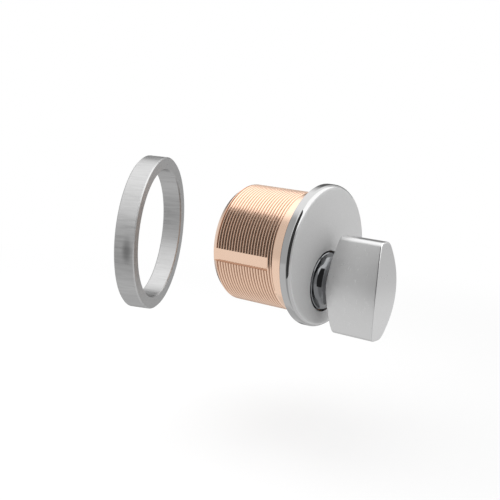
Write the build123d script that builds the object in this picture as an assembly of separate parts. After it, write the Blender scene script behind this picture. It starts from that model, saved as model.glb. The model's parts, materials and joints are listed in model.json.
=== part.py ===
"""Thumb turn cylinder for a mortise lock, with its loose collar ring. Millimetres, +Z up.

The origin is the centre of the flange's seating face, where the flange meets the barrel. The barrel
runs along +Y and the thumb turn stands in front of the flange, along -Y. The thumb turn, the plug and
the cam turn together about an axis that is parallel to Y and lies plug_drop below the barrel's axis.
"""
import os
from math import cos, radians, sin, sqrt

from build123d import *

# Cylinder body: one brass turning, a flange in front of a threaded barrel
inch = 25.4
barrel_diameter = 1.150 * inch
barrel_length = 21.3
lead_chamfer_length = 1.3
lead_chamfer_depth = 0.9
flange_diameter = 34.4
flange_thickness = 2.9
flange_edge_round = 1.3
flange_seat_break = 0.2

# Plug bore, off the barrel's axis, and the counterbore that takes the thumb turn's foot
plug_drop = 6.0
plug_diameter = 12.7
plug_clearance = 0.06
counterbore_diameter = 14.8
counterbore_depth = 4.3
counterbore_break = 0.15

# Two grooves in the barrel for the lock's set screw, opposite each other
screw_groove_width = 3.2
screw_groove_depth = 0.9
screw_groove_start = 5.2
screw_groove_tilt = 7.1

# Thumb turn: a lens-shaped blade on a flared neck, one casting
blade_height = 23.5
blade_thickness = 10.2
blade_tip_thickness = 4.0
blade_tip_round = 1.8
blade_tip_rear = 3.8
blade_depth = 10.9
blade_front_crown = 1.35
blade_rear_peak = 1.35
blade_rear_round = 14.0
blade_edge_round = 0.35
neck_foot_diameter = 13.9
neck_root_diameter = 12.8
neck_waist_diameter = 10.0
neck_foot_break = 0.15
neck_reach_into_blade = 2.0

# Plug, its front spigot and the cross pin that holds the thumb turn on it
spigot_diameter = 8.0
spigot_length = 11.4
spigot_clearance = 0.05
plug_shoulder_gap = 0.05
plug_stand_out = 0.2
plug_end_break = 0.3
cross_pin_diameter = 1.6
cross_pin_clearance = 0.05
cross_pin_inset = 0.35
cross_pin_break = 0.2

# Washers between the counterbore's floor and the thumb turn's foot
washer_bore = 8.4
washer_diameter = 14.4
friction_washer_thickness = 0.5
spring_washer_thickness = 0.3
spring_washer_bow = 0.5

# O-rings that seal the plug and keep it from turning by itself
o_ring_section = 1.36
o_ring_groove_width = 1.6
o_ring_groove_margin = 0.02
o_ring_bore_gap = 0.04
front_o_ring_inset = 2.6
rear_o_ring_inset = 3.6

# Cam on the plug's rear end
cam_thickness = 2.0
cam_hub_diameter = 15.2
cam_tail_width = 6.6
cam_reach = 16.0
cam_tip_round = 1.2
cam_edge_break = 0.25

# Two screws and split washers that hold the cam
cam_screw_diameter = 3.0
cam_screw_spacing = 7.2
cam_screw_length = 10.0
cam_screw_clearance = 0.05
cam_screw_hole_reserve = 1.5
cam_hole_diameter = 3.4
screw_head_diameter = 5.2
screw_head_height = 1.5
screw_head_round = 0.6
screw_recess_width = 0.75
screw_recess_length = 3.2
screw_recess_depth = 0.9
lock_washer_bore = 3.2
lock_washer_diameter = 5.0
lock_washer_thickness = 0.5
lock_washer_split = 0.5

# Collar ring, taken off the barrel and set down upright beside it
collar_diameter = 36.5
collar_bore = 30.5
collar_width = 4.76
collar_break = 0.25
collar_left = 22.9
collar_behind = 33.4
collar_up = 2.3
collar_turn = 21.5
collar_lean = 0.65

overcut = 1.0


def turned(*corners):
    """Solid of revolution about the Y axis, from its (radius, y) corners."""
    return revolve(make_face(Polyline(*corners, close=True)), Axis.Y)


def ring_of(outer, inner, y_front, y_rear):
    """Plain ring round the Y axis between two Y positions, from its two diameters."""
    return turned((inner / 2, y_front), (outer / 2, y_front), (outer / 2, y_rear), (inner / 2, y_rear))


def rod_of(diameter, y_front, y_rear, end_break):
    """Round rod along the Y axis with both ends broken by a small chamfer."""
    radius = diameter / 2
    return turned((0, y_front), (radius - end_break, y_front), (radius, y_front + end_break),
                  (radius, y_rear - end_break), (radius - end_break, y_rear), (0, y_rear))


def on_plug_axis(shape):
    """Moves a piece that was made round the Y axis down to the plug's axis."""
    return Pos(0, 0, -plug_drop) * shape


# Places along Y that several pieces share
flange_face = -flange_thickness
counterbore_floor = flange_face + counterbore_depth
friction_washer_front = counterbore_floor - friction_washer_thickness
foot_rear = friction_washer_front - spring_washer_bow - spring_washer_thickness
plug_front = counterbore_floor + plug_shoulder_gap
plug_rear = barrel_length + plug_stand_out
spigot_front = foot_rear - spigot_length
cross_pin_place = (foot_rear + flange_face) / 2
blade_rear_at_tip = flange_face - blade_tip_rear
blade_rear_at_peak = blade_rear_at_tip + blade_rear_peak
blade_front_at_tip = blade_rear_at_tip - blade_depth
cam_rear = plug_rear + cam_thickness
screw_head_front = cam_rear + lock_washer_thickness
cam_screw_offsets = {"left": -cam_screw_spacing / 2, "right": cam_screw_spacing / 2}


def screw_groove(side_angle):
    """Cutter for one set-screw groove, with a flat floor, open at the barrel's rear end."""
    floor = barrel_diameter / 2 - screw_groove_depth
    length = barrel_length - screw_groove_start + overcut
    cutter = Box(screw_groove_depth + overcut, length, screw_groove_width,
                 align=(Align.MIN, Align.MIN, Align.CENTER))
    return Rot(0, side_angle, 0) * Pos(floor, screw_groove_start, 0) * cutter


def cylinder_body():
    flange_radius = flange_diameter / 2
    barrel_radius = barrel_diameter / 2
    flange = turned((0, flange_face), (flange_radius, flange_face), (flange_radius, -flange_seat_break),
                    (flange_radius - flange_seat_break, 0), (0, 0))
    front_rim = flange.edges().filter_by(GeomType.CIRCLE).sort_by(Axis.Y)[0]
    flange = fillet(front_rim, flange_edge_round)
    barrel = turned((0, 0), (barrel_radius, 0), (barrel_radius, barrel_length - lead_chamfer_length),
                    (barrel_radius - lead_chamfer_depth, barrel_length), (0, barrel_length))
    bore_radius = plug_diameter / 2 + plug_clearance
    pocket_radius = counterbore_diameter / 2
    mouth_radius = pocket_radius + counterbore_break
    bore = turned((0, flange_face - overcut), (mouth_radius, flange_face - overcut),
                  (mouth_radius, flange_face), (pocket_radius, flange_face + counterbore_break),
                  (pocket_radius, counterbore_floor), (bore_radius, counterbore_floor),
                  (bore_radius, barrel_length + overcut), (0, barrel_length + overcut))
    right_groove = screw_groove(-screw_groove_tilt)
    left_groove = screw_groove(180 - screw_groove_tilt)
    return flange + barrel - on_plug_axis(bore) - right_groove - left_groove


def blade():
    """Lens-shaped grip: the lens is what shows from the front, and the side view crowns both ends."""
    half_height = blade_height / 2
    half_middle = blade_thickness / 2
    half_tip = blade_tip_thickness / 2
    sides = (ThreePointArc((-half_tip, half_height), (-half_middle, 0), (-half_tip, -half_height))
             + Line((-half_tip, -half_height), (half_tip, -half_height))
             + ThreePointArc((half_tip, -half_height), (half_middle, 0), (half_tip, half_height))
             + Line((half_tip, half_height), (-half_tip, half_height)))
    lens = make_face(sides)
    lens = fillet(lens.vertices(), blade_tip_round)
    lens_bar = extrude(Plane.XZ * lens, amount=-blade_front_at_tip + blade_front_crown + overcut)

    reach = half_height + overcut
    rear_slope = blade_rear_peak / half_height
    rear_at_reach = blade_rear_at_peak - rear_slope * reach
    rear = FilletPolyline((rear_at_reach, reach), (blade_rear_at_peak, 0), (rear_at_reach, -reach),
                          radius=blade_rear_round)
    crown_radius = (half_height ** 2 + blade_front_crown ** 2) / (2 * blade_front_crown)
    crown_centre = blade_front_at_tip - blade_front_crown + crown_radius
    front_at_reach = crown_centre - sqrt(crown_radius ** 2 - reach ** 2)
    crown_peak = (blade_front_at_tip - blade_front_crown, 0)
    side_view = make_face(rear + Line((rear_at_reach, -reach), (front_at_reach, -reach))
                          + ThreePointArc((front_at_reach, -reach), crown_peak, (front_at_reach, reach))
                          + Line((front_at_reach, reach), (rear_at_reach, reach)))
    grip = lens_bar & extrude(Plane.YZ * side_view, amount=half_middle + overcut, both=True)
    along_y = grip.edges().filter_by(Axis.Y)
    end_edges = [edge for edge in grip.edges() if edge not in along_y and edge.geom_type != GeomType.LINE]
    return fillet(end_edges, blade_edge_round)


def neck():
    """Foot that turns in the counterbore, and the flare that narrows from it to the blade."""
    foot_radius = neck_foot_diameter / 2
    root_radius = neck_root_diameter / 2
    waist_radius = neck_waist_diameter / 2
    flare_end = blade_rear_at_peak
    inside_blade = flare_end - neck_reach_into_blade
    hollow_point = (waist_radius + (root_radius - waist_radius) * (1 - sin(radians(45))),
                    flange_face + (flare_end - flange_face) * (1 - cos(radians(45))))
    shoulder = foot_radius - neck_foot_break
    foot = Polyline((0, foot_rear), (shoulder, foot_rear), (foot_radius, foot_rear - neck_foot_break),
                    (foot_radius, flange_face + neck_foot_break), (shoulder, flange_face),
                    (root_radius, flange_face))
    flare = ThreePointArc((root_radius, flange_face), hollow_point, (waist_radius, flare_end))
    core = Polyline((waist_radius, flare_end), (waist_radius, inside_blade), (0, inside_blade),
                    (0, foot_rear))
    return revolve(make_face(foot + flare + core), Axis.Y)


def cross_pin_bar(diameter, length):
    """Bar across the plug's axis, along X, at the cross pin's place."""
    return Pos(0, cross_pin_place, 0) * Rot(0, 90, 0) * Cylinder(diameter / 2, length)


def thumb_turn():
    socket_radius = spigot_diameter / 2 + spigot_clearance
    socket_front = spigot_front - spigot_clearance
    socket = turned((0, socket_front), (socket_radius, socket_front),
                    (socket_radius, foot_rear + overcut), (0, foot_rear + overcut))
    pin_hole = cross_pin_bar(cross_pin_diameter + 2 * cross_pin_clearance, neck_foot_diameter + overcut)
    return on_plug_axis(blade() + neck() - socket - pin_hole)


def o_ring_places():
    """Y positions of the two O-ring grooves' middles, front first."""
    return plug_front + front_o_ring_inset, plug_rear - cam_screw_length - rear_o_ring_inset


def plug():
    radius = plug_diameter / 2
    spigot_radius = spigot_diameter / 2
    shape = turned((0, spigot_front), (spigot_radius - plug_end_break, spigot_front),
                   (spigot_radius, spigot_front + plug_end_break), (spigot_radius, plug_front),
                   (radius, plug_front), (radius, plug_rear), (0, plug_rear))
    groove_radius = radius + plug_clearance - o_ring_bore_gap - o_ring_section - o_ring_groove_margin
    for place in o_ring_places():
        shape -= ring_of(plug_diameter + overcut, 2 * groove_radius,
                         place - o_ring_groove_width / 2, place + o_ring_groove_width / 2)
    shape -= cross_pin_bar(cross_pin_diameter + 2 * cross_pin_clearance, plug_diameter)
    hole_depth = cam_screw_length + cam_screw_hole_reserve
    hole = Cylinder(cam_screw_diameter / 2 + cam_screw_clearance, hole_depth + overcut,
                    align=(Align.CENTER, Align.CENTER, Align.MIN))
    for offset in cam_screw_offsets.values():
        shape -= Pos(offset, plug_rear + overcut, 0) * Rot(90, 0, 0) * hole
    return on_plug_axis(shape)


def cross_pin():
    length = neck_foot_diameter - 2 * cross_pin_inset
    pin = rod_of(cross_pin_diameter, -length / 2, length / 2, cross_pin_break)
    return on_plug_axis(Pos(0, cross_pin_place, 0) * Rot(0, 0, 90) * pin)


def friction_washer():
    return on_plug_axis(ring_of(washer_diameter, washer_bore, friction_washer_front, counterbore_floor))


def spring_washer():
    """Curved spring washer: a flat ring's outline cut from a thin arched sheet."""
    outer_radius = washer_diameter / 2
    arch = (outer_radius ** 2 + spring_washer_bow ** 2) / (2 * spring_washer_bow)
    ring = ring_of(washer_diameter, washer_bore, foot_rear, friction_washer_front)
    sheet_width = washer_diameter + overcut
    sheet = (Cylinder(arch, sheet_width)
             - Cylinder(arch - spring_washer_thickness, sheet_width + overcut))
    sheet = Pos(0, foot_rear + arch, 0) * Rot(0, 90, 0) * sheet
    return on_plug_axis(ring & sheet)


def o_ring(place):
    outer_radius = plug_diameter / 2 + plug_clearance - o_ring_bore_gap
    ring = Torus(outer_radius - o_ring_section / 2, o_ring_section / 2)
    return on_plug_axis(Pos(0, place, 0) * Rot(90, 0, 0) * ring)


def cam():
    """Flat cam: a round hub on the plug's end, and a tail that points up at rest."""
    tip_half_width = cam_tail_width / 2
    tail = Pos(0, cam_reach / 2) * Rectangle(cam_tail_width, cam_reach)
    tip = tail.vertices().sort_by(Axis.Y)[-2:]
    tail = fillet(tip, min(cam_tip_round, tip_half_width))
    outline = Circle(cam_hub_diameter / 2) + tail
    plate = Pos(0, cam_rear, 0) * extrude(Plane.XZ * outline, amount=cam_thickness)
    plate = chamfer(plate.faces().sort_by(Axis.Y)[-1].edges(), cam_edge_break)
    for offset in cam_screw_offsets.values():
        hole = Cylinder(cam_hole_diameter / 2, cam_thickness + 2 * overcut)
        plate -= Pos(offset, plug_rear + cam_thickness / 2, 0) * Rot(90, 0, 0) * hole
    return on_plug_axis(plate)


def cam_screw(offset):
    """Pan-head screw along Y with a cross recess, its head on the split washer."""
    shank = rod_of(cam_screw_diameter, plug_rear - cam_screw_length, screw_head_front, plug_end_break)
    head_rear = screw_head_front + screw_head_height
    head_radius = screw_head_diameter / 2
    head = turned((0, screw_head_front), (head_radius, screw_head_front),
                  (head_radius, head_rear), (0, head_rear))
    head = fillet(head.edges().filter_by(GeomType.CIRCLE).sort_by(Axis.Y)[-1], screw_head_round)
    arm = Box(screw_recess_length, screw_recess_depth, screw_recess_width,
              align=(Align.CENTER, Align.MAX, Align.CENTER))
    recess = Pos(0, head_rear, 0) * (arm + Rot(0, 90, 0) * arm)
    return on_plug_axis(Pos(offset, 0, 0) * (shank + head - recess))


def lock_washer(offset):
    """Split spring washer, with its split towards the cam's tail."""
    ring = ring_of(lock_washer_diameter, lock_washer_bore, cam_rear, screw_head_front)
    split = Pos(0, cam_rear, 0) * Box(lock_washer_split, lock_washer_thickness, lock_washer_diameter,
                                      align=(Align.CENTER, Align.MIN, Align.MIN))
    return on_plug_axis(Pos(offset, 0, 0) * (ring - split))


def collar_ring():
    """Loose ring that fits over the barrel, between the flange and the door, shown taken off."""
    outer, inner, half = collar_diameter / 2, collar_bore / 2, collar_width / 2
    ring = turned((inner + collar_break, -half), (outer - collar_break, -half),
                  (outer, -half + collar_break), (outer, half - collar_break),
                  (outer - collar_break, half), (inner + collar_break, half),
                  (inner, half - collar_break), (inner, -half + collar_break))
    place = Pos(-collar_left, collar_behind, collar_up) * Rot(0, 0, collar_turn) * Rot(collar_lean, 0, 0)
    return place * ring


front_o_ring, rear_o_ring = (o_ring(place) for place in o_ring_places())
pieces = {
    "cylinder_body": cylinder_body(),
    "collar_ring": collar_ring(),
    "thumb_turn": thumb_turn(),
    "plug": plug(),
    "cross_pin": cross_pin(),
    "friction_washer": friction_washer(),
    "spring_washer": spring_washer(),
    "front_o_ring": front_o_ring,
    "rear_o_ring": rear_o_ring,
    "cam": cam(),
}
for side, offset in cam_screw_offsets.items():
    pieces[f"cam_screw_{side}"] = cam_screw(offset)
    pieces[f"lock_washer_{side}"] = lock_washer(offset)

os.makedirs("parts", exist_ok=True)
for name, piece in pieces.items():
    export_step(piece, f"parts/{name}.step")
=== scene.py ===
"""Thumb turn cylinder and its loose collar ring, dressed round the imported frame. Metres, +Z up."""
import json
from math import ceil, copysign, cos, hypot, pi, radians, sin, sqrt, tan, tau

import bmesh
import bpy
from mathutils import Matrix, Vector


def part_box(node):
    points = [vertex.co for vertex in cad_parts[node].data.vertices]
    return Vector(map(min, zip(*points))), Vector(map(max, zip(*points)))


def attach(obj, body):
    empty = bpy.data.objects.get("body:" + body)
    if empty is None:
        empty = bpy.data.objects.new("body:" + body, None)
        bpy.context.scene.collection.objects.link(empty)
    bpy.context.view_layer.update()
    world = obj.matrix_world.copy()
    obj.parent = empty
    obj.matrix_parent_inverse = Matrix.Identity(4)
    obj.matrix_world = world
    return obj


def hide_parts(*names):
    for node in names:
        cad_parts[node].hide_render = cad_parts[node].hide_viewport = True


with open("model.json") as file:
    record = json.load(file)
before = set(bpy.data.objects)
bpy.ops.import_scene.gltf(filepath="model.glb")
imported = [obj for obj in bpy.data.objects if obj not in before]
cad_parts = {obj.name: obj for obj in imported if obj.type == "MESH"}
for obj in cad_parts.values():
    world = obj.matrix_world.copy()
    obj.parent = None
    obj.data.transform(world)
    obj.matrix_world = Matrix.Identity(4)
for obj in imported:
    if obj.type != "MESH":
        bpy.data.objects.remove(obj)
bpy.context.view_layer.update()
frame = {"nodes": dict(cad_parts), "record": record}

# Flange. The head of the brass turning, chrome plated and buffed satin. It seats on the collar ring,
# and its front has the off-centre counterbore that the thumb turn's foot runs in.
MM = 0.001
body_low, body_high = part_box("cylinder_body")
flange_radius = body_high.x
flange_face = body_low.y
flange_edge_round = 1.3 * MM
flange_seat_break = 0.2 * MM
plug_drop = 6.0 * MM
pocket_radius = 7.4 * MM
pocket_mouth_break = 0.15 * MM
polish_reach = 0.3 * MM
rim_roughness = 0.07
turning_steps = 256
rounding_points = 16
sharp_angle = radians(28)
same_place = 0.0005 * MM
merge_distance = 0.0001 * MM


def turned(bm, corners, drop=0.0):
    """Spins a chain of (radius, y) corners round an axis along Y that lies drop below the origin."""
    chain = [bm.verts.new((radius, y, -drop)) for radius, y in corners]
    edges = [bm.edges.new(pair) for pair in zip(chain, chain[1:])]
    bmesh.ops.spin(bm, geom=chain + edges, cent=(0, 0, -drop), axis=(0, 1, 0), angle=tau,
                   steps=turning_steps, use_merge=True)


def ring_edges(bm, radius, y, drop=0.0):
    """Edges of the circle of that radius round the axis, at that Y."""
    def on_ring(vert):
        off_radius = abs(hypot(vert.co.x, vert.co.z + drop) - radius)
        return abs(vert.co.y - y) < same_place and off_radius < same_place
    return [edge for edge in bm.edges if all(map(on_ring, edge.verts))]


def finished(bm, name, material):
    """Closes the mesh, smooths it but for edges at which it bends by more than the sharp angle, and
    makes the piece."""
    bmesh.ops.remove_doubles(bm, verts=bm.verts, dist=merge_distance)
    bmesh.ops.recalc_face_normals(bm, faces=bm.faces)
    for edge in bm.edges:
        edge.smooth = len(edge.link_faces) == 2 and edge.calc_face_angle() < sharp_angle
    for face in bm.faces:
        face.smooth = True
    mesh = bpy.data.meshes.new(name)
    bm.to_mesh(mesh)
    bm.free()
    mesh.materials.append(material)
    piece = bpy.data.objects.new(name, mesh)
    bpy.context.scene.collection.objects.link(piece)
    weighted = piece.modifiers.new("face weighted normals", "WEIGHTED_NORMAL")
    weighted.keep_sharp = True
    return piece


def mark(bm, name, value):
    """Gives each vertex the value of value(vertex) under that attribute name."""
    layer = bm.verts.layers.float.new(name)
    for vert in bm.verts:
        vert[layer] = value(vert)


def linear(hex_colour):
    """sRGB hex colour as linear RGBA."""
    channels = [int(hex_colour[i:i + 2], 16) / 255 for i in (1, 3, 5)]
    return [c / 12.92 if c <= 0.04045 else ((c + 0.055) / 1.055) ** 2.4 for c in channels] + [1.0]


def add(tree, kind, inputs=(), **settings):
    """Adds a node with its settings. An input that is given a socket is linked to it, any other is set."""
    node = tree.nodes.new("ShaderNode" + kind)
    for name, value in settings.items():
        setattr(node, name, value)
    for name, value in dict(inputs).items():
        if isinstance(value, bpy.types.NodeSocket):
            tree.links.new(value, node.inputs[name])
        else:
            node.inputs[name].default_value = value
    return node


def new_finish(name, colour, metallic=1.0):
    """A finish's material, its node tree and its shader."""
    material = bpy.data.materials.new(name)
    material.use_nodes = True
    tree = material.node_tree
    shader = tree.nodes["Principled BSDF"]
    shader.inputs["Base Color"].default_value = linear(colour)
    shader.inputs["Metallic"].default_value = metallic
    return material, tree, shader


def surface_marks(tree, shader, grain, smooth, rough, depth=None, stretch=(1.0, 1.0, 1.0), turn=0.0):
    """Fine marks all over a finish: noise with a grain in metres, stretched along the three axes, which
    turn about Z first. The roughness goes from smooth to rough with them, and with a depth in metres
    they stand in the surface. Gives the pattern, from 0 to 1."""
    place = add(tree, "TexCoord")
    mapped = add(tree, "Mapping", {"Vector": place.outputs["Object"], "Rotation": (0, 0, turn),
                                   "Scale": stretch}, vector_type="TEXTURE")
    noise = add(tree, "TexNoise", {"Vector": mapped.outputs["Vector"], "Scale": 1 / grain,
                                   "Detail": 3.0, "Roughness": 0.6})
    # Nearly all of a noise lies between 0.3 and 0.7.
    marks = add(tree, "MapRange", {"Value": noise.outputs["Fac"], "From Min": 0.3, "From Max": 0.7})
    spread = add(tree, "MapRange", {"Value": marks.outputs["Result"], "To Min": smooth, "To Max": rough})
    tree.links.new(spread.outputs["Result"], shader.inputs["Roughness"])
    if depth:
        bump = add(tree, "Bump", {"Height": noise.outputs["Fac"], "Distance": depth, "Strength": 1.0})
        tree.links.new(bump.outputs["Normal"], shader.inputs["Normal"])
    return marks.outputs["Result"]


def change_where(tree, socket, amount, value):
    """Takes a socket of the shader from what it has to another value, as far as amount says, 0 to 1."""
    under = socket.links[0].from_socket if socket.is_linked else socket.default_value
    kind = "RGBA" if socket.type == "RGBA" else "FLOAT"
    mixed = add(tree, "Mix", {"Factor": amount, "A": under, "B": value}, data_type=kind)
    tree.links.new(mixed.outputs["Result"], socket)


# Satin chrome plate, buffed with fine grit: a soft even grey that mirrors nothing clearly. The wheel
# polishes the rounded edge and the rim behind it, which shine like a mirror. Real buffing marks are
# finer than a pixel, so these are drawn 0.4 mm apart.
satin_chrome, tree, shader = new_finish("satin chrome plate", "#DADADA")
surface_marks(tree, shader, 0.4 * MM, smooth=0.7, rough=0.8, depth=0.002 * MM)
polish = add(tree, "Attribute", attribute_type="GEOMETRY", attribute_name="polish").outputs["Fac"]
change_where(tree, shader.inputs["Base Color"], polish, linear("#B9B9B9"))
change_where(tree, shader.inputs["Roughness"], polish, rim_roughness)

angles = [pi / 2 * (1 - step / rounding_points) for step in range(rounding_points + 1)]
edge_arc = [(flange_radius - flange_edge_round * (1 - cos(angle)),
             flange_face + flange_edge_round * (1 - sin(angle))) for angle in angles]
face_radius = flange_radius - flange_edge_round
seat_radius = flange_radius - flange_seat_break
mouth_radius = pocket_radius + pocket_mouth_break
bm = bmesh.new()
turned(bm, [*edge_arc, (flange_radius, -flange_seat_break), (seat_radius, 0)])
turned(bm, [(mouth_radius, flange_face), (pocket_radius, flange_face + pocket_mouth_break),
            (pocket_radius, 0)], plug_drop)
for radius, hole, y in ((face_radius, mouth_radius, flange_face), (seat_radius, pocket_radius, 0)):
    rims = ring_edges(bm, radius, y) + ring_edges(bm, hole, y, plug_drop)
    bmesh.ops.triangle_fill(bm, use_beauty=True, edges=rims)
mark(bm, "polish", lambda vert: min(1.0, (vert.co.y - flange_face) / polish_reach))
flange = finished(bm, "flange", satin_chrome)
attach(flange, "cylinder")
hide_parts("cylinder_body")

# Barrel. The rest of the same turning, left as bare brass, with a right-handed thread of 32 turns an
# inch. Two flat-bottomed slots are milled along it, half a turn apart, for the lock's set screw. The
# thread is drawn as its worn crests show it: shallow, with flanks at 40 degrees to the axis.
mounts = {mount["name"]: mount for mount in frame["record"]["mounts"]}
barrel_radius = mounts["barrel_thread"]["dims"]["r_mm"] * MM
barrel_end = body_high.y
chamfer_start = 20.0 * MM
chamfer_end_radius = 13.705 * MM
thread_pitch = 25.4 / 32 * MM
thread_start = 3.72 * MM
thread_end = 19.79 * MM
thread_depth = 0.26 * MM
thread_crest = 0.16 * MM
flank_angle = 40
thread_flank = thread_depth * tan(radians(90 - flank_angle))
thread_runout = 0.05 * MM
thread_steps = 144
spare_turns = 2
turn_join = 0.02 * MM
past_thread_floor = 1.1
pocket_depth = 4.3 * MM
pocket_floor = flange_face + pocket_depth
bore_radius = 6.41 * MM
slot_width = 3.2 * MM
slot_depth = 0.9 * MM
slot_floor = barrel_radius - slot_depth
slot_start = 5.2 * MM
slot_tilt = 7.1
overcut = 1.0 * MM
lathe_rings = (20, 1 / 3, 20)
thread_metallic_tarnish_and_shade = 0.72

# Turned bare brass: a warm pinkish mirror with fine rings round the axis. Down in the thread it is
# coloured brown by depth, partly as tarnish and partly as painted shade in the grooves, which gives brown
# lines that shine less.
bare_brass, tree, shader = new_finish("turned bare brass", "#FAD8C0")
surface_marks(tree, shader, 0.5 * MM, smooth=0.14, rough=0.24, depth=0.003 * MM, stretch=lathe_rings)
groove = add(tree, "Attribute", attribute_type="GEOMETRY", attribute_name="groove").outputs["Fac"]
# Darker brown and less metallic the deeper in the thread: partly tarnish, partly painted shade in the
# grooves.
change_where(tree, shader.inputs["Base Color"], groove, linear("#9A6C50"))
change_where(tree, shader.inputs["Metallic"], groove, thread_metallic_tarnish_and_shade)


def all_of(bm):
    """Every vertex, edge and face of the mesh."""
    return bm.verts[:] + bm.edges[:] + bm.faces[:]


def vertices_in(geometry):
    """Only the vertices of what an operator gives back."""
    return [item for item in geometry if isinstance(item, bmesh.types.BMVert)]


def grow(bm, edges, radius, y):
    """Extrudes a closed chain of edges to another radius and Y, and gives the new chain's edges."""
    grown = bmesh.ops.extrude_edge_only(bm, edges=edges)["geom"]
    for vert in vertices_in(grown):
        scale = radius / hypot(vert.co.x, vert.co.z)
        vert.co = (vert.co.x * scale, y, vert.co.z * scale)
    return [item for item in grown if isinstance(item, bmesh.types.BMEdge)]


def cut_away(piece, cutter):
    """Gives the piece's mesh without the cutter's shape, and deletes both objects."""
    cut = piece.modifiers.new("cut", "BOOLEAN")
    cut.operation, cut.solver, cut.object = "DIFFERENCE", "EXACT", cutter
    bpy.context.view_layer.update()
    result = bpy.data.meshes.new_from_object(piece.evaluated_get(bpy.context.evaluated_depsgraph_get()))
    for used in (piece, cutter):
        bpy.data.objects.remove(used)
    return result


def groove_depth_at(vert):
    """How deep in the thread a vertex lies, from 0 to 1. Off the thread and in the slots it is 0."""
    below = (barrel_radius - hypot(vert.co.x, vert.co.z)) / thread_depth
    in_thread = thread_start <= vert.co.y <= thread_end and below < past_thread_floor
    return max(0.0, below) if in_thread else 0.0


def dress(material, *nodes):
    """Gives the frame's own solids a material."""
    for node in nodes:
        for material_slot in frame["nodes"][node].material_slots:
            material_slot.material = material


bm = bmesh.new()
turns = ceil((thread_end - thread_start) / thread_pitch) + spare_turns
first = thread_start - thread_pitch
profile = [(barrel_radius, first), (barrel_radius, first + thread_crest),
           (barrel_radius - thread_depth, first + thread_crest + thread_flank),
           (barrel_radius - thread_depth, first + thread_pitch - thread_flank),
           (barrel_radius, first + thread_pitch)]
chain = [bm.verts.new((radius, y, 0)) for radius, y in profile]
edges = [bm.edges.new(pair) for pair in zip(chain, chain[1:])]
bmesh.ops.spin(bm, geom=chain + edges, cent=(0, 0, 0), axis=(0, 1, 0), angle=tau,
               dvec=(0, thread_pitch / thread_steps, 0), steps=thread_steps, use_merge=False)
one_turn = all_of(bm)
for turn in range(1, turns):
    copied = bmesh.ops.duplicate(bm, geom=one_turn)["geom"]
    bmesh.ops.translate(bm, verts=vertices_in(copied), vec=(0, turn * thread_pitch, 0))
bmesh.ops.remove_doubles(bm, verts=bm.verts, dist=turn_join)
for y, side in ((thread_start, "clear_inner"), (thread_end, "clear_outer")):
    bmesh.ops.bisect_plane(bm, geom=all_of(bm), plane_co=(0, y, 0), plane_no=(0, 1, 0),
                           dist=merge_distance, **{side: True})
open_edges = [edge for edge in bm.edges if edge.is_boundary]
front = [edge for edge in open_edges if all(v.co.y < thread_start + same_place for v in edge.verts)]
rear = [edge for edge in open_edges if all(v.co.y > thread_end - same_place for v in edge.verts)]
front = grow(bm, front, barrel_radius, thread_start - thread_runout)
front = grow(bm, front, barrel_radius, 0)
rear = grow(bm, rear, barrel_radius, thread_end + thread_runout)
rear = grow(bm, rear, barrel_radius, chamfer_start)
rear = grow(bm, rear, chamfer_end_radius, barrel_end)
for loop in (front, rear):
    bmesh.ops.contextual_create(bm, geom=loop)
blank = finished(bm, "barrel_blank", bare_brass)

bm = bmesh.new()
turned(bm, [(0, -overcut), (pocket_radius, -overcut), (pocket_radius, pocket_floor),
            (bore_radius, pocket_floor), (bore_radius, barrel_end + overcut),
            (0, barrel_end + overcut)], plug_drop)
slot_length = barrel_end - slot_start + overcut
for side_angle in (-slot_tilt, 180 - slot_tilt):
    place = (Matrix.Rotation(radians(side_angle), 4, "Y")
             @ Matrix.Translation((slot_floor + overcut, slot_start + slot_length / 2, 0))
             @ Matrix.Diagonal((2 * overcut, slot_length, slot_width, 1)))
    bmesh.ops.create_cube(bm, size=1.0, matrix=place)
cutter = finished(bm, "barrel_cutter", bare_brass)

bm = bmesh.new()
bm.from_mesh(cut_away(blank, cutter))
mark(bm, "groove", groove_depth_at)
barrel = finished(bm, "barrel", bare_brass)
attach(barrel, "cylinder")
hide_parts("cylinder_body")
dress(bare_brass, "cylinder_body")

# Thumb turn's blade. A cast grip, lens-shaped from the front and crowned at both ends, chrome plated
# like the flange. Its long faces were rubbed up and down, along Z.
turn_low, turn_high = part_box("thumb_turn")
blade_half_height = turn_high.z + plug_drop
blade_middle = 5.1 * MM
blade_tip = 2.0 * MM
blade_tip_round = 1.8 * MM
blade_crown = 1.35 * MM
blade_front = turn_low.y + blade_crown
blade_rear = -6.7 * MM
blade_centre = (blade_front + blade_rear) / 2
blade_rear_peak = 1.35 * MM
blade_rear_round = 14.0 * MM
blade_edge_round = 0.35 * MM
blade_edge_steps = 5
blade_outline_points = 160
blade_slices = 60

# Satin chrome plate, rubbed with grit: glossier than the flange's face, with highlights that spread
# across the rubbing. Its marks too are drawn coarser than real ones, 0.3 mm apart.
rubbed_chrome, tree, shader = new_finish("rubbed satin chrome plate", "#D7D7D7")
surface_marks(tree, shader, 0.3 * MM, smooth=0.27, rough=0.35, depth=0.002 * MM, stretch=(1, 1, 5))


def lens_half_width(z):
    """Half the lens's width at a height: a long arc, rounded over into the flat tip."""
    bulge = blade_middle - blade_tip
    arc = (blade_half_height ** 2 + bulge ** 2) / (2 * bulge)
    round_up = blade_half_height - blade_tip_round
    round_out = sqrt((arc - blade_tip_round) ** 2 - round_up ** 2) - (arc - blade_middle)
    meeting = round_up * arc / (arc - blade_tip_round)
    if abs(z) < meeting:
        return sqrt(arc ** 2 - z ** 2) - (arc - blade_middle)
    return round_out + sqrt(max(blade_tip_round ** 2 - (abs(z) - round_up) ** 2, 0))


def front_crown(z):
    """How far the front end stands out at a height."""
    radius = (blade_half_height ** 2 + blade_crown ** 2) / (2 * blade_crown)
    return sqrt(radius ** 2 - z ** 2) - (radius - blade_crown)


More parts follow.
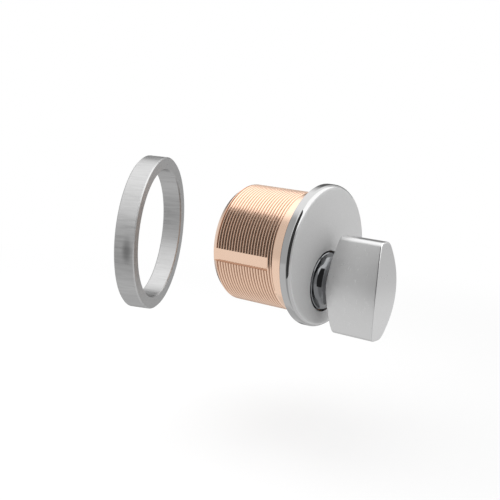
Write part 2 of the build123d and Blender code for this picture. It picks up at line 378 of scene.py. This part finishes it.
def rear_peak(z):
    """How far the rear end stands out at a height: two flats that meet in a round ridge."""
    slope = blade_rear_peak / blade_half_height
    reach = blade_rear_round * slope
    if abs(z) > reach:
        return blade_rear_peak - slope * abs(z)
    return blade_rear_peak - slope * reach / 2 - z ** 2 / (2 * blade_rear_round)


bm = bmesh.new()
bmesh.ops.create_circle(bm, cap_ends=True, segments=blade_outline_points, radius=1.0,
                        matrix=Matrix.Rotation(tau / blade_outline_points / 2, 4, "Z"))
for vert in bm.verts:
    z = blade_half_height * vert.co.y
    vert.co = (copysign(lens_half_width(z), vert.co.x), blade_front, z)
grown = bmesh.ops.extrude_face_region(bm, geom=bm.faces[:])["geom"]
bmesh.ops.translate(bm, verts=vertices_in(grown), vec=(0, blade_rear - blade_front, 0))
ends = [face for face in bm.faces if len(face.verts) > 4]
for face in ends:
    # Rounds the edge of one end outwards, and then takes that end back by the rounding.
    sign = copysign(1.0, face.calc_center_median().y - blade_centre)
    for step in range(blade_edge_steps):
        near, far = (pi / 2 * (step + n) / blade_edge_steps for n in (0, 1))
        inward = blade_edge_round * (cos(near) - cos(far))
        rise = blade_edge_round * (sin(far) - sin(near))
        bmesh.ops.inset_region(bm, faces=[face], thickness=inward, depth=0.0, use_even_offset=True)
        for vert in face.verts:
            vert.co.y += sign * rise
    for vert in bm.verts:
        if (vert.co.y - blade_centre) * sign > 0:
            vert.co.y -= sign * blade_edge_round
for cut in range(1, blade_slices):
    height = blade_half_height * sin(pi * (cut / blade_slices - 0.5))
    bmesh.ops.bisect_plane(bm, geom=all_of(bm), plane_co=(0, 0, height), plane_no=(0, 0, 1),
                           dist=merge_distance)
for vert in bm.verts:
    if vert.co.y < blade_centre:
        vert.co.y -= front_crown(vert.co.z)
    else:
        vert.co.y += rear_peak(vert.co.z)
bmesh.ops.translate(bm, verts=bm.verts, vec=(0, 0, -plug_drop))
blade = finished(bm, "blade", rubbed_chrome)
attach(blade, "turn")
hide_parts("thumb_turn")
dress(rubbed_chrome, "thumb_turn")

# Thumb turn's neck. It is cast in one with the blade, and only here the chrome is left mirror bright.
# Its foot turns in the flange's counterbore, with a narrow dark gap round it.
foot_radius = 6.95 * MM
neck_root = 6.4 * MM
neck_waist = 5.0 * MM
foot_break = 0.15 * MM
socket_radius = 4.05 * MM
foot_rear = turn_high.y
neck_end = blade_rear + blade_rear_peak
flare_points = 16

# Polished chrome plate: a clear mirror, dulled a little by a haze. Its colour is darkened well below
# bright chrome's as painted shade, for the dark reflections in its recess between the flange and the
# blade.
# The dark grey is painted shade, not the plate's own colour.
polished_chrome, tree, shader = new_finish("polished chrome plate", "#77787A")
surface_marks(tree, shader, 0.8 * MM, smooth=0.04, rough=0.09)

flare = [(neck_waist + (neck_root - neck_waist) * (1 - sin(angle)),
          flange_face + (neck_end - flange_face) * (1 - cos(angle)))
         for angle in (pi / 2 * step / flare_points for step in range(flare_points + 1))]
bm = bmesh.new()
turned(bm, [(socket_radius, foot_rear), (foot_radius - foot_break, foot_rear),
            (foot_radius, foot_rear - foot_break), (foot_radius, flange_face + foot_break),
            (foot_radius - foot_break, flange_face), *flare, (neck_waist, blade_rear),
            (socket_radius, blade_rear), (socket_radius, foot_rear)], plug_drop)
neck = finished(bm, "neck", polished_chrome)
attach(neck, "turn")
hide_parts("thumb_turn")

# Collar ring. A plain ring cut from drawn brass tube and satin plated, with fine lines along its axis
# from the finishing belt. It goes between the flange and the door, and here it lies beside them.
collar = mounts["collar_bore"]
collar_place = (Matrix.Translation(collar["pos_m"])
                @ Vector(collar["axis"]).to_track_quat("Y", "Z").to_matrix().to_4x4())
collar_turn = radians(21.5)
collar_outer = 18.25 * MM
collar_inner = collar["dims"]["r_mm"] * MM
collar_half = 2.38 * MM
collar_break = 0.25 * MM
painted_reflection_place = Vector((-39.6, 26.1, 0.2)) * MM
painted_reflection_shape = (0.65, 0.65, 1.9)
painted_reflection_reach = 2.4 * MM
painted_reflection_core = 0.3 * MM
painted_reflection_strength = 0.65

# Belt-brushed satin plate: a mid grey, broken up by pale lines along the ring's axis. The real lines are
# finer, and are drawn 0.5 mm apart to show. One dark patch on the outside, where the ring faces the
# camera, is a painted reflection.
collar_metal, tree, shader = new_finish("belt-brushed satin plate", "#B2B2B2")
belt = surface_marks(tree, shader, 0.5 * MM, smooth=0.26, rough=0.44, depth=0.018 * MM,
                     stretch=(1, 12, 1), turn=collar_turn)
change_where(tree, shader.inputs["Base Color"], belt, linear("#C5C5C5"))
# Painted reflection: a dark patch on the ring's outside, on the side that faces the camera.
place = add(tree, "TexCoord")
centred = add(tree, "Mapping", {"Vector": place.outputs["Object"], "Location": painted_reflection_place,
                                "Scale": painted_reflection_shape}, vector_type="TEXTURE")
away = add(tree, "VectorMath", {0: centred.outputs["Vector"]}, operation="LENGTH")
painted_reflection = add(tree, "MapRange", {"Value": away.outputs["Value"], "From Min": painted_reflection_reach,
                                "From Max": painted_reflection_core, "To Max": painted_reflection_strength},
             interpolation_type="SMOOTHSTEP")
change_where(tree, shader.inputs["Base Color"], painted_reflection.outputs["Result"], linear("#6B6B6B"))

inside = collar_inner + collar_break
outside = collar_outer - collar_break
end = collar_half - collar_break
bm = bmesh.new()
turned(bm, [(inside, -collar_half), (outside, -collar_half), (collar_outer, -end), (collar_outer, end),
            (outside, collar_half), (inside, collar_half), (collar_inner, end), (collar_inner, -end),
            (inside, -collar_half)])
bmesh.ops.transform(bm, matrix=collar_place, verts=bm.verts)
ring = finished(bm, "collar", collar_metal)
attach(ring, "cylinder")
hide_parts("collar_ring")
dress(collar_metal, "collar_ring")
# Other pieces don't mirror the ring, which would show in the slot beside it as a dark patch.
ring.visible_glossy = False

# Plug. A turning of yellower brass, which runs through the barrel off its centre. The thumb turn sits
# on its spigot in front, and the cam is screwed to its rear end, where it shows.

# Turned plug brass: a warm yellow shine with fine lathe rings.
plug_brass, tree, shader = new_finish("turned plug brass", "#D9B873")
surface_marks(tree, shader, 0.5 * MM, smooth=0.22, rough=0.34, depth=0.003 * MM, stretch=lathe_rings)
dress(plug_brass, "plug")

# Cross pin and cam screws. Steel wire and small headed screws, zinc plated against rust. The pin goes
# through the thumb turn's foot and the plug's spigot, and the screws hold the cam on the plug.

# Bright zinc plate on steel: a cool bluish silver with faint crystals.
zinc_plate, tree, shader = new_finish("bright zinc plate on steel", "#C3C8CC")
surface_marks(tree, shader, 0.3 * MM, smooth=0.22, rough=0.36)
dress(zinc_plate, "cross_pin", "cam_screw_left", "cam_screw_right")

# Curved washer and lock washers. Stamped from hard spring steel and left oiled. The curved one takes
# up the thumb turn's play, and the lock washers sit under the cam screws' heads.

# Oiled spring steel: a dark grey that shines unevenly, as the oil lies.
spring_steel, tree, shader = new_finish("oiled spring steel", "#7C7D80")
surface_marks(tree, shader, 1.0 * MM, smooth=0.2, rough=0.42)
dress(spring_steel, "spring_washer", "lock_washer_left", "lock_washer_right")

# Cam. A flat lever stamped from steel plate and nickel plated, screwed to the plug's rear end.
# It turns with the plug and pushes the lock's bolt lever.

# Stamped nickel-plated steel: a slightly warm grey, a little uneven from the press.
cam_steel, tree, shader = new_finish("stamped nickel-plated steel", "#B4B2AC")
surface_marks(tree, shader, 0.4 * MM, smooth=0.24, rough=0.38, depth=0.004 * MM)
dress(cam_steel, "cam")

# Friction washer. A thin nylon disc on the counterbore's floor, which keeps metal off metal there.
# It is moulded flat and held only by the parts in front of it.

# Moulded nylon: milky white and half matt, slightly cloudy.
nylon, tree, shader = new_finish("moulded nylon", "#E4E1D6", metallic=0.0)
surface_marks(tree, shader, 1.5 * MM, smooth=0.42, rough=0.58)
dress(nylon, "friction_washer")

# O-rings. Two moulded nitrile rings in the plug's grooves, one at each end of the barrel's bore. They
# keep the plug from rattling and from turning by itself.

# Moulded nitrile rubber: matt black with a fine grain.
rubber, tree, shader = new_finish("moulded nitrile rubber", "#1C1C1D", metallic=0.0)
surface_marks(tree, shader, 0.3 * MM, smooth=0.5, rough=0.7)
dress(rubber, "front_o_ring", "rear_o_ring")

# Studio floor. A sheet of matt white paper well below the object: pale grey where the object's soft
# shadow lies, and away from it as white as the background.
floor_height = -45.0 * MM
floor_radius = 900.0 * MM
floor_points = 96
shadow_reach = 90 * MM
fade_end = 260 * MM
white_under_object = 0.65
bm = bmesh.new()
bmesh.ops.create_circle(bm, cap_ends=True, segments=floor_points, radius=floor_radius,
                        matrix=Matrix.Translation((0, 0, floor_height)))
mesh = bpy.data.meshes.new("floor")
bm.to_mesh(mesh)
bm.free()
floor = bpy.data.objects.new("floor", mesh)
bpy.context.scene.collection.objects.link(floor)

# Matt white paper: no shine at all. Only the camera sees it whitened, the more so the farther it lies
# from the object.
paper, tree, shader = new_finish("matt white paper", "#F2F2F2", metallic=0.0)
shader.inputs["Roughness"].default_value = 0.9
shader.inputs["Specular IOR Level"].default_value = 0.0
place = add(tree, "TexCoord")
away = add(tree, "VectorMath", {0: place.outputs["Object"]}, operation="LENGTH")
fade = add(tree, "MapRange", {"Value": away.outputs["Value"], "From Min": shadow_reach,
                              "From Max": fade_end}, interpolation_type="SMOOTHSTEP")
share = add(tree, "MapRange", {"Value": fade.outputs["Result"], "To Min": white_under_object})
white = add(tree, "Emission", {"Color": (1, 1, 1, 1), "Strength": 1.0})
seen = add(tree, "MixShader", {"Fac": share.outputs["Result"], 1: shader.outputs["BSDF"],
                               2: white.outputs["Emission"]})
rays = add(tree, "LightPath")
surface = add(tree, "MixShader", {"Fac": rays.outputs["Is Camera Ray"], 1: shader.outputs["BSDF"],
                                  2: seen.outputs["Shader"]})
tree.links.new(surface.outputs["Shader"], tree.nodes["Material Output"].inputs["Surface"])
mesh.materials.append(paper)
floor.visible_glossy = False

# Studio light. A white room, with a soft box overhead that lights but isn't mirrored. What the metal
# mirrors is set by direction, in degrees: a ceiling brighter than white, dimmer walls, a pale table,
# and a dark backdrop behind the object.
room_turn = 170.0
table_edge = (-9, -14)
plain_light = 0.45
backdrop_direction = (0.824, 0.566, 0.0)
backdrop_fades = (38, 22)
backdrop_level = 0.15
soft_box_side = 420 * MM
world = bpy.data.worlds.new("studio")
world.use_nodes = True
bpy.context.scene.world = world
tree = world.node_tree
background = tree.nodes["Background"]
background.inputs["Color"].default_value = (1, 1, 1, 1)

sky = add(tree, "TexCoord")
turned_sky = add(tree, "VectorRotate", {"Vector": sky.outputs["Generated"], "Angle": radians(-room_turn)},
                 rotation_type="Z_AXIS")
axes = add(tree, "SeparateXYZ", {"Vector": turned_sky.outputs["Vector"]})
up = add(tree, "Math", {0: axes.outputs["Z"]}, operation="ARCSINE")
around = add(tree, "Math", {0: axes.outputs["Y"], 1: axes.outputs["X"]}, operation="ARCTAN2")
elevation, azimuth = (add(tree, "Math", {0: angle.outputs["Value"]}, operation="DEGREES").outputs["Value"]
                      for angle in (up, around))


def edge_between(angle, low, high, near=0.0, far=1.0):
    """Two surfaces of the room that meet: near up to the low angle and far from the high one on."""
    return add(tree, "MapRange", {"Value": angle, "From Min": low, "From Max": high, "To Min": near,
                                  "To Max": far}, interpolation_type="SMOOTHSTEP").outputs["Result"]


def round_the_room(level, *changes):
    """Starts with a level on the right and goes round behind the object to the left and the front. Each
    change is the azimuths where it starts and ends, and the level that it brings."""
    for low, high, new_level in changes:
        level = edge_between(azimuth, low, high, level, new_level)
    return level


wall = round_the_room(0.85, (-110, -70, 0.66), (25, 45, 0.68))
ceiling = round_the_room(1.5, (-20, 0, 1.36), (25, 45, 2.0))
table = round_the_room(0.68, (-95, -75, 0.85), (-20, 0, 0.55), (25, 45, 0.9))
ceiling_share = round_the_room(edge_between(elevation, 33, 50),
                               (-90, -60, edge_between(elevation, 47, 59)),
                               (-20, 0, edge_between(elevation, 5, 45)),
                               (25, 45, edge_between(elevation, 20, 32)))
upper = add(tree, "Mix", {"Factor": ceiling_share, "A": wall, "B": ceiling}, data_type="FLOAT")
room = edge_between(elevation, *table_edge, upper.outputs["Result"], table)
behind = add(tree, "VectorMath", {0: sky.outputs["Generated"], 1: backdrop_direction},
             operation="DOT_PRODUCT")
fade_from, fade_to = (cos(radians(angle)) for angle in backdrop_fades)
mirrored = edge_between(behind.outputs["Value"], fade_from, fade_to, room, backdrop_level)
rays = add(tree, "LightPath")
level = plain_light
for ray, ray_level in (("Is Glossy Ray", mirrored), ("Is Camera Ray", 1.0), ("Is Transmission Ray", 1.0)):
    level = add(tree, "Mix", {"Factor": rays.outputs[ray], "A": level, "B": ray_level},
                data_type="FLOAT").outputs["Result"]
tree.links.new(level, background.inputs["Strength"])

soft_box = bpy.data.lights.new("overhead soft box", "AREA")
soft_box.shape = "RECTANGLE"
soft_box.size = soft_box_side
soft_box.size_y = soft_box_side
soft_box.energy = 1.2
lamp = bpy.data.objects.new("overhead soft box", soft_box)
lamp.location = (-60 * MM, 90 * MM, 230 * MM)
lamp.rotation_euler = (Vector((0, 0, 0)) - lamp.location).to_track_quat("-Z", "Y").to_euler()
lamp.visible_glossy = False
bpy.context.scene.collection.objects.link(lamp)

# Black card. A tall slanted one of velvet on the left, which only reflections show. It draws the dark
# line along the flange's edge, the dark zone over the thread above the slot, and the neck's dark waist.
card_x = -60 * MM
card_corners_mm = ((3, -32), (3, 175), (-122, 175), (-50, -32))
velvet_level = 0.065

# Black velvet: one even near-black with no shine.
velvet = bpy.data.materials.new("black velvet")
velvet.use_nodes = True
tree = velvet.node_tree
pile = add(tree, "Emission", {"Color": (1, 1, 1, 1), "Strength": velvet_level})
tree.links.new(pile.outputs["Emission"], tree.nodes["Material Output"].inputs["Surface"])

bm = bmesh.new()
corners = [bm.verts.new((card_x, y * MM, z * MM)) for y, z in card_corners_mm]
bmesh.ops.contextual_create(bm, geom=corners)
mesh = bpy.data.meshes.new("black card")
bm.to_mesh(mesh)
bm.free()
mesh.materials.append(velvet)
card = bpy.data.objects.new("black card", mesh)
bpy.context.scene.collection.objects.link(card)
card.visible_camera = False
card.visible_diffuse = False
card.visible_shadow = False

# Camera. A long lens on the left in front, a little above, and rolled a few degrees, so that the
# object lies in the frame as it does in the photograph.
camera_data = bpy.data.cameras.new("camera")
camera_data.lens = 68.4
camera_data.sensor_width = 36.0
camera_data.clip_start = 0.01
camera = bpy.data.objects.new("camera", camera_data)
camera_azimuth = radians(-55.5588)
camera_elevation = radians(9.53)
camera_roll = radians(4.4637)
camera_distance = 228.83 * MM
aim = Vector((-9.3825, 13.6290, -0.1774)) * MM
back = Vector((sin(camera_azimuth) * cos(camera_elevation), -cos(camera_azimuth) * cos(camera_elevation),
               sin(camera_elevation)))
rolled = Matrix.Rotation(camera_roll, 3, "Z").to_quaternion()
camera.rotation_mode = "QUATERNION"
camera.rotation_quaternion = (-back).to_track_quat("-Z", "Y") @ rolled
camera.location = aim + back * camera_distance
bpy.context.scene.collection.objects.link(camera)
bpy.context.scene.camera = camera
bpy.context.scene.view_settings.view_transform = "Standard"

bpy.context.view_layer.update()
